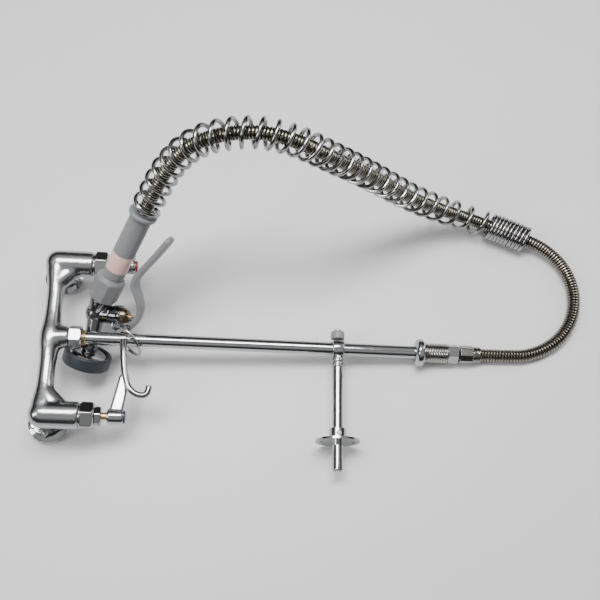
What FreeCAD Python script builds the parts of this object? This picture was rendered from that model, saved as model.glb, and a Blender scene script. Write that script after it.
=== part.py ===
import FreeCAD, Part
import math
import os
import Sketcher
from FreeCAD import Placement, Rotation, Vector

# Wall mounted pre rinse faucet, laid on its back on a table.  Millimetres, +Z up.
# The origin is on the table under the middle of the bar that joins the two valves.
# +X runs along the riser pipe, +Y runs along the bar to the hot valve.

doc = FreeCAD.newDocument("pre_rinse_faucet")
sheet = doc.addObject("Spreadsheet::Sheet", "Sizes")

SIZES = {
    "bar_height": 62.0, "riser_slope": 5.17, "inlet_spacing": 203.2,
    "bar_r": 10.25, "elbow_r": 16.5, "waterway_r": 6.5, "arm_length": 46.0,
    "cartridge_bore_r": 11.5, "inlet_r": 13.5, "inlet_bore_r": 8.5, "inlet_length": 34.0,
    "boss_r": 13.5, "boss_length": 24.0, "boss_bore_r": 9.0,
    "inlet_nut_af": 38.0, "inlet_nut_length": 15.0, "inlet_nut_bore_r": 13.6,
    "flange_r": 25.5, "flange_thick": 2.5, "flange_hub_r": 15.0,
    "inlet_thread_r": 9.5, "inlet_washer_thick": 2.0,
    "bonnet_af": 32.0, "bonnet_length": 19.0, "bonnet_bore_r": 8.0,
    "gland_af": 22.0, "gland_length": 8.0, "gland_bore_r": 5.1,
    "spindle_r": 5.0, "spindle_length": 40.4,
    "ceramic_r": 10.5, "ceramic_thick": 3.0,
    "hub_r": 10.0, "hub_length": 19.0, "lever_length": 50.0, "lever_tip_r": 7.0,
    "lever_thick": 6.0, "index_r": 8.5, "index_thick": 2.0, "handle_screw_r": 2.4,
    "outlet_nut_af": 28.0, "outlet_nut_length": 15.5,
    "adapter_r": 10.2, "adapter_length": 29.0,
    "riser_r": 8.55, "riser_bore_r": 6.3, "riser_length": 446.0,
    "seat_r": 18.4, "seat_thick": 13.0, "sleeve_r": 13.2, "sleeve_pitch": 3.4,
    "hose_hex_af": 23.2, "hose_hex_length": 14.0, "hose_nut_af": 22.6, "hose_nut_length": 18.0,
    "hose_r": 8.7, "hose_bore_r": 5.5, "ferrule_r": 10.0, "ferrule_length": 29.0,
    "spring_r": 19.4, "spring_wire": 4.8,
    "hook_wire_r": 3.9, "hook_band_thick": 1.9, "hook_band_length": 9.5,
    "clamp_r": 13.0, "clamp_length": 15.0, "cap_r": 9.0, "cap_length": 11.0,
    "rod_r": 6.85, "rod_length": 150.0,
    "wall_flange_r": 28.5, "wall_flange_thick": 2.6, "wall_hub_r": 11.0, "wall_hub_length": 17.0,
    "wall_screw_hole_r": 2.4, "wall_screw_pcd": 41.0,
    "grip_r": 14.2, "grip_bore_r": 10.6, "collar_grip_r": 18.2, "grip_collar_length": 40.0,
    "grip_length": 96.8, "grip_rim_r": 18.5, "grip_rim_length": 7.5, "label_thick": 0.25,
    "label_length": 26.0, "neck_r": 9.0, "elbow_ball_r": 15.5, "spray_bore_r": 5.2,
    "valve_bonnet_r": 11.6, "valve_bonnet_length": 15.8, "valve_bonnet_bore_r": 9.0,
    "bonnet_cap_r": 9.8, "bonnet_cap_length": 8.0,
    "plunger_r": 3.2, "plunger_head_r": 8.0, "valve_spring_r": 6.6,
    "bumper_r": 31.0, "bumper_bore_r": 25.0, "bumper_length": 18.0, "dome_r": 24.9,
    "face_r": 22.0, "face_thick": 2.0, "face_screw_r": 3.0,
    "squeeze_thick": 8.5, "squeeze_width": 18.0, "squeeze_foot_width": 10.0, "pivot_r": 2.4,
    "ring_r": 24.0, "ring_wire_r": 2.0,
}

for row, (alias, value) in enumerate(SIZES.items(), start=1):
    sheet.set("A%d" % row, alias.replace("_", " "))
    sheet.set("B%d" % row, str(value))
    sheet.setAlias("B%d" % row, alias)
doc.recompute()

SUBPARTS = []


def size(alias):
    """A driving dimension, read from the sheet."""
    return float(getattr(sheet, alias))


def bind(obj, prop, expression):
    """Tie a property to the sheet; a name in the expression stands for its cell."""
    obj.setExpression(prop, expression)


def sub_part(obj, label, placement):
    """Name a finished object, put it in its place and list it for writing."""
    obj.Label = label
    obj.Placement = placement
    SUBPARTS.append(obj)
    return obj


# ---------------------------------------------------------------- frames
def turned_to(axis, across=None):
    """Rotation that takes +Z to axis and, when given, +X towards across."""
    z_dir = Vector(*axis).normalize()
    if across is None:
        return Rotation(Vector(0, 0, 1), z_dir)
    x_dir = Vector(*across)
    x_dir = (x_dir - z_dir * x_dir.dot(z_dir)).normalize()
    return Rotation(x_dir, z_dir.cross(x_dir), z_dir, "ZXY")


# The faucet leans: its wall flanges stand on the table, the far end of the riser lies on it.
LEAN = Placement(Vector(0, 0, size("bar_height")), Rotation(Vector(0, 1, 0), size("riser_slope")))


def on_faucet(x, y, z, axis=(1, 0, 0), across=None):
    """Place in the leaning frame: x along the riser, y along the bar, z away from the wall."""
    return LEAN.multiply(Placement(Vector(x, y, z), turned_to(axis, across)))


# The grip of the spray valve leans on the hot valve, rising from the table to the hose.
GRIP_FOOT = Vector(61.4, 52.1, 66.0)
GRIP_TOP = Vector(126.8, 125.3, 172.0)
GRIP_AXIS = (GRIP_TOP - GRIP_FOOT).normalize()
GRIP_RUN = (GRIP_TOP - GRIP_FOOT).Length
LEVER_SIDE = Vector(0.80, -0.58, -0.145)
LEVER_SIDE = (LEVER_SIDE - GRIP_AXIS * LEVER_SIDE.dot(GRIP_AXIS)).normalize()
LEVER_NORMAL = GRIP_AXIS.cross(LEVER_SIDE)


def on_grip(along, out, axis=(1, 0), side=0.0):
    """Place in the spray valve's plane: along the grip, out towards the lever."""
    base = GRIP_FOOT + GRIP_AXIS * along + LEVER_SIDE * out + LEVER_NORMAL * side
    z_dir = GRIP_AXIS * axis[0] + LEVER_SIDE * axis[1]
    return Placement(base, turned_to(z_dir, LEVER_NORMAL))


# ---------------------------------------------------------------- makers
def plane_of(body, role):
    """The body's own origin plane with this role."""
    return [item for item in body.Origin.OriginFeatures if item.Role == role][0]


def turned(label, steps, placement, bore="0"):
    """A lathe-turned piece: steps are (start radius, end radius, length), from z = 0 upwards."""
    body = doc.addObject("PartDesign::Body", label)
    sketch = body.newObject("Sketcher::SketchObject", label + "_profile")
    sketch.AttachmentSupport = [(plane_of(body, "XZ_Plane"), "")]
    sketch.MapMode = "FlatFace"
    corners = [(bore, "0")]
    top = "0"
    for start_r, end_r, length in steps:
        if corners[-1] != (start_r, top):
            corners.append((start_r, top))
        top = top + " + " + length
        corners.append((end_r, top))
    if corners[-1][0] != bore:
        corners.append((bore, top))
    points = [Vector(worth(r), worth(z), 0) for r, z in corners]
    count = len(points)
    for i in range(count):
        sketch.addGeometry(Part.LineSegment(points[i], points[(i + 1) % count]), False)
    for i in range(count):
        sketch.addConstraint(Sketcher.Constraint("Coincident", i, 2, (i + 1) % count, 1))
    for i, (r, z) in enumerate(corners):
        tie_corner(sketch, i, "DistanceX", r, points[i].x, -2)
        tie_corner(sketch, i, "DistanceY", z, points[i].y, -1)
    turn = body.newObject("PartDesign::Revolution", label + "_turn")
    turn.Profile = sketch
    turn.ReferenceAxis = (sketch, ["V_Axis"])
    turn.Angle = 360.0
    sketch.Visibility = False
    return sub_part(body, label, placement)


def worth(expression):
    """The number that a sum of cell names and plain numbers comes to."""
    total = 0.0
    for term in expression.split(" + "):
        amount = 1.0
        for factor in term.split(" * "):
            amount *= size(factor) if factor in SIZES else float(factor)
        total += amount
    return total


def cells(expression):
    """The same sum as the sheet's own expression."""
    terms = []
    for term in expression.split(" + "):
        factors = ["Sizes." + f if f in SIZES else f for f in term.split(" * ")]
        terms.append(" * ".join(factors))
    return " + ".join(terms)


def tie_corner(sketch, line, kind, expression, value, axis):
    """Hold one corner of a profile at a distance from the origin, bound to the sheet."""
    if abs(value) < 1e-9:
        sketch.addConstraint(Sketcher.Constraint("PointOnObject", line, 1, axis))
        return
    number = sketch.addConstraint(Sketcher.Constraint(kind, -1, 1, line, 1, value))
    sketch.setExpression("Constraints[%d]" % number, cells(expression))


def primitive(kind, name, placement=None, **sizes):
    """A Part primitive whose sizes are bound to the sheet."""
    obj = doc.addObject("Part::" + kind, name)
    for prop, expression in sizes.items():
        bind(obj, prop, cells(expression))
    if placement is not None:
        obj.Placement = placement
    return obj


def boolean(kind, name, base, tool):
    """Cut or Common of two objects."""
    obj = doc.addObject("Part::" + kind, name)
    obj.Base = base
    obj.Tool = tool
    return obj


def hex_piece(label, flats, length, bore, placement, sides=6):
    """A bored hexagon, its corners turned off at both ends."""
    prism = doc.addObject("Part::Prism", label + "_prism")
    prism.Polygon = sides
    bind(prism, "Circumradius", "%s / (2 * cos(180 / %d))" % (cells(flats), sides))
    bind(prism, "Height", cells(length))
    blank = doc.addObject("Part::Feature", label + "_blank")
    corner_r = worth(flats) / 2 / math.cos(math.pi / sides)
    land_r = worth(flats) / 2 * 0.98
    rise = (corner_r - land_r) * 0.55
    high = worth(length)
    outline = [(0, 0), (land_r, 0), (corner_r, rise), (corner_r, high - rise), (land_r, high), (0, high)]
    wire = Part.makePolygon([Vector(r, 0, z) for r, z in outline + outline[:1]])
    blank.Shape = Part.Face(wire).revolve(Vector(0, 0, 0), Vector(0, 0, 1), 360)
    nut = boolean("Common", label + "_nut", prism, blank)
    hole = primitive("Cylinder", label + "_hole", Placement(Vector(0, 0, -1), Rotation()), Radius=bore,
                     Height=length + " + 2")
    return sub_part(boolean("Cut", label, nut, hole), label, placement)


def feature(label, shape, placement=Placement()):
    """A shape made by Part's functions from the sheet's sizes."""
    obj = doc.addObject("Part::Feature", label)
    obj.Shape = shape
    return sub_part(obj, label, placement)


def rod_between(a, b, radius, end_radius=None):
    """A round bar or taper between two points."""
    run = b - a
    if end_radius is None or abs(end_radius - radius) < 1e-6:
        return Part.makeCylinder(radius, run.Length, a, run)
    return Part.makeCone(radius, end_radius, run.Length, a, run)


def rounded_route(points):
    """Straight runs joined by tangent arcs, as one wire."""
    edges = []
    start = points[0]
    for before, corner, after in zip(points, points[1:], points[2:]):
        run_in = corner - before
        run_out = after - corner
        half_turn = run_in.getAngle(run_out) / 2
        setback = 0.45 * min(run_in.Length, run_out.Length)
        radius = setback / math.tan(half_turn)
        arc_start = corner - run_in.normalize() * setback
        arc_end = corner + run_out.normalize() * setback
        bisector = (arc_start + arc_end) * 0.5 - corner
        gap = radius / math.cos(half_turn) - radius
        arc_mid = corner + bisector.normalize() * gap
        edges.append(Part.makeLine(start, arc_start))
        edges.append(Part.Arc(arc_start, arc_mid, arc_end).toShape())
        start = arc_end
    edges.append(Part.makeLine(start, points[-1]))
    return Part.Wire(edges)


def tube_along(label, points, outer_r, inner_r):
    """A round tube along a route."""
    wire = rounded_route(points)
    heading = points[1] - points[0]
    solids = []
    for radius in (outer_r, inner_r):
        ring = Part.Wire(Part.makeCircle(radius, points[0], heading))
        solids.append(wire.makePipeShell([ring], True, False))
    return feature(label, solids[0].cut(solids[1]))


def flat_plate(outline, thick):
    """A plate of closed outline in XY, centred on z = 0."""
    face = Part.Face(Part.Wire(Part.makePolygon(outline + outline[:1])))
    face.translate(Vector(0, 0, -thick / 2))
    return face.extrude(Vector(0, 0, thick))


def ribbon(points, thick, width, side):
    """A bent strip: its middle line follows the points, its width lies along side."""
    spline = Part.BSplineCurve()
    spline.interpolate(points)
    wall = []
    for k in range(41):
        at = spline.FirstParameter + (spline.LastParameter - spline.FirstParameter) * k / 40.0
        here = spline.value(at)
        along = Vector(*spline.tangent(at)[0])
        wall.append((here, along.cross(side).normalize()))
    upper = [here + out * thick / 2 for here, out in wall]
    lower = [here - out * thick / 2 for here, out in wall]
    top_edge = Part.BSplineCurve()
    top_edge.interpolate(upper)
    low_edge = Part.BSplineCurve()
    low_edge.interpolate(list(reversed(lower)))
    ends = [Part.makeLine(upper[-1], lower[-1]), Part.makeLine(lower[0], upper[0])]
    face = Part.Face(Part.Wire([top_edge.toShape(), ends[0], low_edge.toShape(), ends[1]]))
    face.translate(side * (-width / 2))
    return face.extrude(side * width)


# ---------------------------------------------------------------- mixing body
HALF = size("inlet_spacing") / 2


def spun(outline, axis):
    """Solid turned from a half outline of (distance along the axis, radius) about an axis through 0."""
    corners = [Vector(along, radius, 0) for along, radius in outline]
    shape = Part.Face(Part.makePolygon(corners + corners[:1])).revolve(Vector(0, 0, 0), Vector(1, 0, 0), 360)
    shape.Placement = Placement(Vector(0, 0, 0), Rotation(Vector(1, 0, 0), Vector(*axis)))
    return shape


def domed_arm(radius, length):
    """Bar along X from a round end behind the origin."""
    round_end = Part.Arc(Vector(-radius, 0, 0), Vector(-radius * math.sqrt(0.5), radius * math.sqrt(0.5), 0),
                         Vector(0, radius, 0)).toShape()
    sides = [Part.makeLine(Vector(0, radius, 0), Vector(length, radius, 0)),
             Part.makeLine(Vector(length, radius, 0), Vector(length, 0, 0)),
             Part.makeLine(Vector(length, 0, 0), Vector(-radius, 0, 0))]
    face = Part.Face(Part.Wire([round_end] + sides))
    return face.revolve(Vector(0, 0, 0), Vector(1, 0, 0), 360)


def make_body():
    """Hollow casting: bar, two elbows with valve arms and inlets, and the outlet boss."""
    bar_r = size("bar_r")
    elbow_r = size("elbow_r")
    arm = size("arm_length")
    deep = size("inlet_length")
    boss = size("boss_length")
    flare = 34.0
    shoulder = 26.0
    half_bar = [(5, boss - 9.8), (shoulder, bar_r), (HALF - flare, bar_r), (HALF, elbow_r - 0.6), (HALF, 0)]
    bar = spun([(-along, radius) for along, radius in reversed(half_bar)] + half_bar, (0, 1, 0))
    metal = [bar, rod_between(Vector(0, 0, 0), Vector(boss, 0, 0), size("boss_r"))]
    water = [rod_between(Vector(0, -HALF, 0), Vector(0, HALF, 0), size("waterway_r")),
             rod_between(Vector(0, 0, 0), Vector(boss + 1, 0, 0), size("boss_bore_r"))]
    for side in (-1, 1):
        corner = Vector(0, side * HALF, 0)
        elbow = domed_arm(elbow_r, arm)
        elbow.translate(corner)
        metal.append(elbow)
        metal.append(rod_between(corner, corner + Vector(0, 0, -deep), size("inlet_r")))
        water.append(rod_between(corner, corner + Vector(arm + 1, 0, 0), size("cartridge_bore_r")))
        water.append(rod_between(corner, corner - Vector(0, 0, deep + 1), size("inlet_bore_r")))
    casting = metal[0].multiFuse(metal[1:])
    cavity = water[0].multiFuse(water[1:])
    feature("mixing_body", casting.cut(cavity), LEAN)


def make_inlets():
    """Each inlet's washer, union nut and wall flange with its threaded hub."""
    for name, side in (("hot", 1), ("cold", -1)):
        y = side * HALF
        face = -size("inlet_length")
        turned(name + "_inlet_washer", [("inlet_r", "inlet_r", "inlet_washer_thick")],
               on_faucet(0, y, face, (0, 0, -1)), "inlet_bore_r")
        hex_piece(name + "_union_nut", "inlet_nut_af", "inlet_nut_length", "inlet_nut_bore_r",
                  on_faucet(0, y, face + 5, (0, 0, -1)))
        turned(name + "_wall_flange",
               [("12.9", "12.9", "8.3"), ("flange_hub_r", "flange_hub_r + 4", "3.5"),
                ("flange_hub_r + 4", "flange_r", "2.5"), ("flange_r", "flange_r", "flange_thick"),
                ("inlet_r", "inlet_r", "8")],
               on_faucet(0, y, face - size("inlet_washer_thick"), (0, 0, -1)), "inlet_thread_r")


def make_valve(name, side, turn):
    """One valve: cartridge, bonnet, gland nut, spindle, lever handle, index and screw."""
    y = side * HALF
    arm = size("arm_length")
    ceramic = size("ceramic_thick")
    turned(name + "_fixed_disc", [("ceramic_r", "ceramic_r", "ceramic_thick")],
           on_faucet(arm - 14, y, 0), "3")
    hex_piece(name + "_bonnet", "bonnet_af", "bonnet_length", "bonnet_bore_r", on_faucet(arm, y, 0, (1, 0, 0),
              (0, 1, 0)))
    hex_piece(name + "_gland_nut", "gland_af", "gland_length", "gland_bore_r",
              on_faucet(arm + size("bonnet_length"), y, 0, (1, 0, 0), (0, 1, 0)))
    start = arm - 14 + ceramic + 0.3
    turned(name + "_spindle", [("7.5", "7.5", "16"), ("spindle_r", "spindle_r", "spindle_length")],
           on_faucet(start, y, 0))
    hub_x = arm + size("bonnet_length") + size("gland_length") + 7.0
    make_handle(name, side, turn, hub_x)


def make_handle(name, side, turn, hub_x):
    """Lever handle: round hub on the spindle with a tapering flat lever."""
    hub_r = size("hub_r")
    hub_length = size("hub_length")
    reach = size("lever_length")
    tip_r = size("lever_tip_r")
    hub = Part.makeCylinder(hub_r, hub_length)
    dome = Part.makeCone(hub_r, hub_r - 1.5, 1.5, Vector(0, 0, hub_length), Vector(0, 0, 1))
    blade = flat_plate([Vector(0, -8.8, 0), Vector(reach, -tip_r, 0), Vector(reach, tip_r, 0),
                        Vector(0, 8.8, 0)], size("lever_thick"))
    tip = Part.makeCylinder(tip_r, size("lever_thick"), Vector(reach, 0, -size("lever_thick") / 2))
    lever = blade.fuse(tip)
    lever.rotate(Vector(0, 0, 0), Vector(1, 0, 0), 90)
    lever.rotate(Vector(0, 0, 0), Vector(0, 1, 0), -9)
    lever.translate(Vector(0, 0, hub_length * 0.5))
    socket = Part.makeCylinder(size("spindle_r"), hub_length - 5, Vector(0, 0, 0))
    screw_hole = Part.makeCylinder(size("handle_screw_r"), 30)
    recess = Part.makeCylinder(size("index_r"), 3, Vector(0, 0, hub_length))
    handle = hub.multiFuse([dome, lever]).cut(socket.fuse(screw_hole)).cut(recess).removeSplitter()
    points = (0, -side * math.cos(math.radians(turn)), math.sin(math.radians(turn)))
    feature(name + "_lever_handle", handle, on_faucet(hub_x, side * HALF, 0, (1, 0, 0), points))
    turned(name + "_handle_screw", [("handle_screw_r", "handle_screw_r", "5"), ("4.2", "4.2", "1.4")],
           on_faucet(hub_x + hub_length - 5, side * HALF, 0))
    turned(name + "_index_button",
           [("index_r", "index_r", "index_thick"), ("index_r", "index_r + -1.5", "0.8")],
           on_faucet(hub_x + hub_length + 1.4, side * HALF, 0))


# ---------------------------------------------------------------- riser and bracket
RISER_START = size("boss_length") + 6.0


def make_riser():
    """Outlet nut, adapter, riser pipe, spring seat, sleeve and the hose's hex and nut."""
    nut_x = size("boss_length") - 2.0
    turned("riser_adapter", [("8.9", "8.9", "8"), ("adapter_r", "adapter_r", "adapter_length + -8")],
           on_faucet(size("boss_length") - 8, 0, 0), "riser_r")
    hex_piece("outlet_nut", "outlet_nut_af", "outlet_nut_length", "adapter_r", on_faucet(nut_x + 2.2, 0, 0))
    turned("riser_pipe", [("riser_r", "riser_r", "riser_length")], on_faucet(RISER_START, 0, 0),
           "riser_bore_r")
    seat_x = RISER_START + size("riser_length") - 2.0
    turned("spring_seat", [("14", "seat_r", "3"), ("seat_r", "seat_r", "seat_thick + -6"),
                           ("seat_r", "14", "3")], on_faucet(seat_x, 0, 0), "riser_r")
    sleeve_x = seat_x + size("seat_thick")
    steps = []
    for ridge in range(9):
        steps += [("sleeve_r + -1.1", "sleeve_r", "sleeve_pitch * 0.5"),
                  ("sleeve_r", "sleeve_r + -1.1", "sleeve_pitch * 0.5")]
    turned("threaded_sleeve", steps, on_faucet(sleeve_x, 0, 0), "6.4")
    hex_x = sleeve_x + 9 * size("sleeve_pitch")
    hex_piece("hose_hex", "hose_hex_af", "hose_hex_length", "hose_bore_r", on_faucet(hex_x, 0, 0))
    washer_x = hex_x + size("hose_hex_length")
    hex_piece("hose_nut", "hose_nut_af", "hose_nut_length", "ferrule_r", on_faucet(washer_x + 2.2, 0, 0), 8)
    turned("hose_ferrule", [("ferrule_r + -0.1", "ferrule_r + -0.1", "hose_nut_length + 0.1"),
                            ("ferrule_r + 0.9", "ferrule_r + 0.9", "ferrule_length + -18.1")],
           on_faucet(washer_x + 2.2, 0, 0), "hose_r")
    return washer_x + 2.2 + size("ferrule_length")


def make_hook():
    """Finger hook: a band round the riser with a round rod bent up at its end."""
    x = 93.0
    inner = size("riser_r") + 0.05
    outer = inner + size("hook_band_thick")
    band_length = size("hook_band_length")
    band = Part.makeCylinder(outer, band_length, Vector(x - band_length / 2, 0, 0), Vector(1, 0, 0))
    band = band.cut(Part.makeCylinder(inner, band_length + 2, Vector(x - band_length / 2 - 1, 0, 0),
                                      Vector(1, 0, 0)))
    line = [Vector(x, -4, 12.6), Vector(x + 2.5, -28, 14), Vector(x + 6.5, -54, 14), Vector(x + 13, -68, 14),
            Vector(x + 25, -75, 14), Vector(x + 35, -72, 14), Vector(x + 37, -63, 14)]
    path = rounded_route(line)
    ring = Part.Wire(Part.makeCircle(size("hook_wire_r"), line[0], line[1] - line[0]))
    rod = path.makePipeShell([ring], True, False)
    tip = Part.makeSphere(size("hook_wire_r"), line[-1])
    root = Part.makeSphere(size("hook_wire_r"), line[0])
    bore = Part.makeCylinder(inner, 60, Vector(x - 30, 0, 0), Vector(1, 0, 0))
    screw_way = Part.makeCylinder(2.0, 12, Vector(x, 0, -4), Vector(0, 0, -1))
    feature("finger_hook", band.multiFuse([rod, tip, root]).cut(bore.fuse(screw_way)), LEAN)
    turned("hook_set_screw", [("2.0", "2.0", "hook_band_thick + -0.2"), ("3.2", "3.2", "1.8")],
           on_faucet(x, 0, -inner - 0.1, (0, 0, -1)))


def make_bracket():
    """Wall bracket: clamp ring on the riser, cap and screw, two nuts, rod and sliding flange."""
    x = 371.0
    wide = size("clamp_length")
    inner = size("riser_r") + 0.06
    ring = Part.makeCylinder(size("clamp_r"), wide, Vector(x - wide / 2, 0, 0), Vector(1, 0, 0))
    boss = Part.makeCylinder(7.4, 18.0, Vector(x, 0, 0), Vector(0, -1, 0))
    ring = ring.fuse(boss).cut(Part.makeCylinder(inner, wide + 2, Vector(x - wide / 2 - 1, 0, 0),
                                                 Vector(1, 0, 0)))
    hole = Part.makeCylinder(4.0, 12.0, Vector(x, -8, 0), Vector(0, -1, 0))
    screw_way = Part.makeCylinder(3.0, 12.0, Vector(x, 5, 0), Vector(0, 1, 0))
    feature("bracket_clamp", ring.cut(hole.fuse(screw_way)), LEAN)
    down = (0, -1, 0)
    turned("bracket_cap", [("cap_r", "cap_r", "cap_length + -2"), ("cap_r", "cap_r + -2", "2")],
           on_faucet(x, 13.1, 0, (0, 1, 0)), "3.0")
    turned("cap_screw", [("2.9", "2.9", "15.2"), ("4.4", "4.4", "2.4"), ("4.4", "2.4", "1.4")],
           on_faucet(x, 9.0, 0, (0, 1, 0)))
    for number, start in ((1, 10.2), (2, 16.4)):
        turned("rod_nut_%d" % number, [("cap_r + -1", "cap_r", "1"), ("cap_r", "cap_r", "3.4"),
                                       ("cap_r", "cap_r + -1", "1")],
               on_faucet(x, -start - 3.2, 0, down), "7.45" if number == 1 else "rod_r")
    turned("bracket_rod",
           [("3.9", "3.9", "6"), ("rod_r", "rod_r", "rod_length + -7"), ("rod_r", "rod_r + -1", "1")],
           on_faucet(x, -12.1, 0, down))
    flange = Part.makeCylinder(size("wall_flange_r"), size("wall_flange_thick"))
    hub = Part.makeCylinder(size("wall_hub_r"), size("wall_hub_length"))
    lip = Part.makeCone(size("wall_hub_r") + 4, size("wall_hub_r"), 4,
                        Vector(0, 0, size("wall_flange_thick")), Vector(0, 0, 1))
    cutters = [Part.makeCylinder(size("rod_r") + 0.06, 40, Vector(0, 0, -5))]
    for side in (-1, 1):
        at = Vector(side * size("wall_screw_pcd") / 2, 0, -1)
        cutters.append(Part.makeCylinder(size("wall_screw_hole_r"), 8, at))
    side_hole = Part.makeCylinder(2.0, 12, Vector(0, -5, 10), Vector(0, -1, 0))
    plate = flange.multiFuse([hub, lip]).cut(cutters[0].multiFuse(cutters[1:] + [side_hole]))
    feature("bracket_flange", plate, on_faucet(x, -124, 0, (0, 1, 0), (1, 0, 0)))
    turned("flange_set_screw", [("1.9", "1.9", "wall_hub_r + -7.2"), ("3.2", "3.2", "1.6")],
           on_faucet(x, -114, 7.1, (0, 0, 1)))


# ---------------------------------------------------------------- hose and spring
def make_hose(hose_x):
    """Stripwound hose from the nut on the table, up through the spring and into the grip."""
    hose_start = LEAN.multVec(Vector(hose_x, 0, 0))
    grip_end = GRIP_TOP - GRIP_AXIS * 14.0
    grip_entry = GRIP_TOP + GRIP_AXIS * 24.0
    on_table = [Vector(592, 0, 9.4), Vector(627, 0.5, 9), Vector(664, 18, 9), Vector(689, 50, 9),
                Vector(697, 90, 9), Vector(687, 128, 9.8), Vector(661, 155, 14), Vector(627, 169, 19.2)]
    arch = [Vector(588, 185, 19.8), Vector(545, 195, 30), Vector(500, 194, 60), Vector(458, 189, 102),
            Vector(420, 184, 150), Vector(384, 176, 198), Vector(350, 168, 240.5), Vector(314, 168, 273),
            Vector(275, 171, 287), Vector(232, 171, 284), Vector(192, 168, 265), Vector(161, 158, 229),
            grip_entry]
    tube_along("hose", [hose_start] + on_table + arch + [grip_end], size("hose_r"), size("hose_bore_r"))
    spring_start = Vector(637, 165.5, 19.7)
    tube_along("overhead_spring", [spring_start] + arch + [GRIP_TOP + GRIP_AXIS * 0.2], size("spring_r"),
               size("spring_r") - size("spring_wire") * 0.25)


# ---------------------------------------------------------------- spray valve
ELBOW = (-24.6, 3.0)
BONNET_DIR = (0.55, 0.835)
BONNET_AXIS = (GRIP_AXIS * BONNET_DIR[0] + LEVER_SIDE * BONNET_DIR[1]).normalize()
SPRAY_AIM = Vector(-0.29, -0.78, -0.555).normalize()
HEAD_CENTRE = Vector(41.5, -18.5, 30.2)
BONNET_START = 24.2


def on_bonnet(distance):
    """Place on the valve's stem axis, this far from the middle of the elbow."""
    return on_grip(ELBOW[0] + distance * BONNET_DIR[0], ELBOW[1] + distance * BONNET_DIR[1], BONNET_DIR)


def make_grip():
    """Grip sleeve, its end rim, the plain band and the faceted collar."""
    turned("grip_collar", [("collar_grip_r + -1", "collar_grip_r", "1.5"),
                           ("collar_grip_r", "collar_grip_r + -0.6", "grip_collar_length + -9"),
                           ("collar_grip_r + -0.6", "grip_r", "4")], on_grip(3.5, 0), "grip_bore_r")
    turned("grip_sleeve", [("grip_r", "grip_r", "grip_length")], on_grip(size("grip_collar_length"), 0),
           "grip_bore_r")
    turned("grip_rim", [("grip_r", "grip_rim_r", "4"), ("grip_rim_r", "grip_rim_r", "grip_rim_length + -4")],
           on_grip(GRIP_RUN - 7.5, 0), "ferrule_r")
    turned("hose_end_ferrule", [("ferrule_r + -0.1", "ferrule_r + -0.1", "22")], on_grip(GRIP_RUN - 24, 0),
           "hose_r")
    turned("grip_band", [("grip_r + label_thick", "grip_r + label_thick", "label_length")], on_grip(53, 0),
           "grip_r")
    turned("grip_insert", [("8.5", "8.5", "14"), ("grip_bore_r", "grip_bore_r", "24")], on_grip(-2, 0), "6")


def make_spray_valve():
    """Valve casting: an elbow ball with arms to the grip, the bonnet and the spray head."""
    elbow = on_bonnet(0).Base
    neck_end = HEAD_CENTRE - SPRAY_AIM * 15.5
    grip_end = on_grip(0, 0).Base
    neck_r = size("neck_r")
    arms = [rod_between(elbow, grip_end, 13.6, 14.2),
            rod_between(elbow, elbow + BONNET_AXIS * 24, 12.0),
            rod_between(elbow, neck_end, 11.2, neck_r - 1.4),
            Part.makeSphere(neck_r + 1.2, neck_end),
            rod_between(neck_end, neck_end + SPRAY_AIM * 5.1, neck_r + 0.4)]
    body = Part.makeSphere(size("elbow_ball_r") - 1, elbow).multiFuse(arms)
    ways = [rod_between(on_grip(-16, 0).Base, on_grip(3, 0).Base, 8.7),
            rod_between(elbow, elbow + BONNET_AXIS * 26, size("valve_bonnet_bore_r")),
            rod_between(elbow, neck_end, size("spray_bore_r")),
            Part.makeSphere(size("spray_bore_r") + 0.8, neck_end),
            rod_between(neck_end, neck_end + SPRAY_AIM * 8, size("spray_bore_r")),
            rod_between(HEAD_CENTRE - SPRAY_AIM * 10.4, HEAD_CENTRE + SPRAY_AIM * 10, 26.0)]
    feature("spray_valve_body", body.cut(ways[0].multiFuse(ways[1:])))
    cap_start = BONNET_START + size("valve_bonnet_length") + 0.1
    turned("valve_bonnet",
           [("12.0", "12.0", "4"), ("valve_bonnet_r", "valve_bonnet_r", "valve_bonnet_length + -4")],
           on_bonnet(BONNET_START), "valve_bonnet_bore_r")
    turned("bonnet_cap", [("bonnet_cap_r + 1.2", "bonnet_cap_r", "3"),
                          ("bonnet_cap_r", "bonnet_cap_r + -3", "bonnet_cap_length + -3")],
           on_bonnet(cap_start), "plunger_r + 0.06")
    turned("valve_plunger", [("plunger_head_r", "plunger_head_r", "4"), ("plunger_r", "plunger_r", "14.4")],
           on_bonnet(36.0))
    turned("valve_spring", [("valve_spring_r", "valve_spring_r", "18")], on_bonnet(15.0), "5")


def make_spray_head():
    """Chrome bell, rubber bumper, spray plate and its screw, all on the spray axis."""
    aim = tuple(SPRAY_AIM)
    back = HEAD_CENTRE - SPRAY_AIM * 9
    turned("spray_bell", [("neck_r + 1.8", "dome_r", "5"), ("dome_r", "dome_r", "10")],
           Placement(HEAD_CENTRE - SPRAY_AIM * 10.3, turned_to(aim)), "spray_bore_r")
    turned("bumper_ring", [("bumper_r + -2", "bumper_r", "2"), ("bumper_r", "bumper_r", "bumper_length + -4"),
                           ("bumper_r", "bumper_r + -2", "2")],
           Placement(back, turned_to(aim)), "bumper_bore_r")
    turned("spray_plate", [("face_r", "face_r", "face_thick")],
           Placement(HEAD_CENTRE + SPRAY_AIM * 4.9, turned_to(aim)), "face_screw_r + -1")
    turned("plate_screw",
           [("face_screw_r + -1", "face_screw_r + -1", "6"), ("face_screw_r + 1", "face_screw_r", "1.6")],
           Placement(HEAD_CENTRE + SPRAY_AIM * 0.9, turned_to(aim)))


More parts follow.
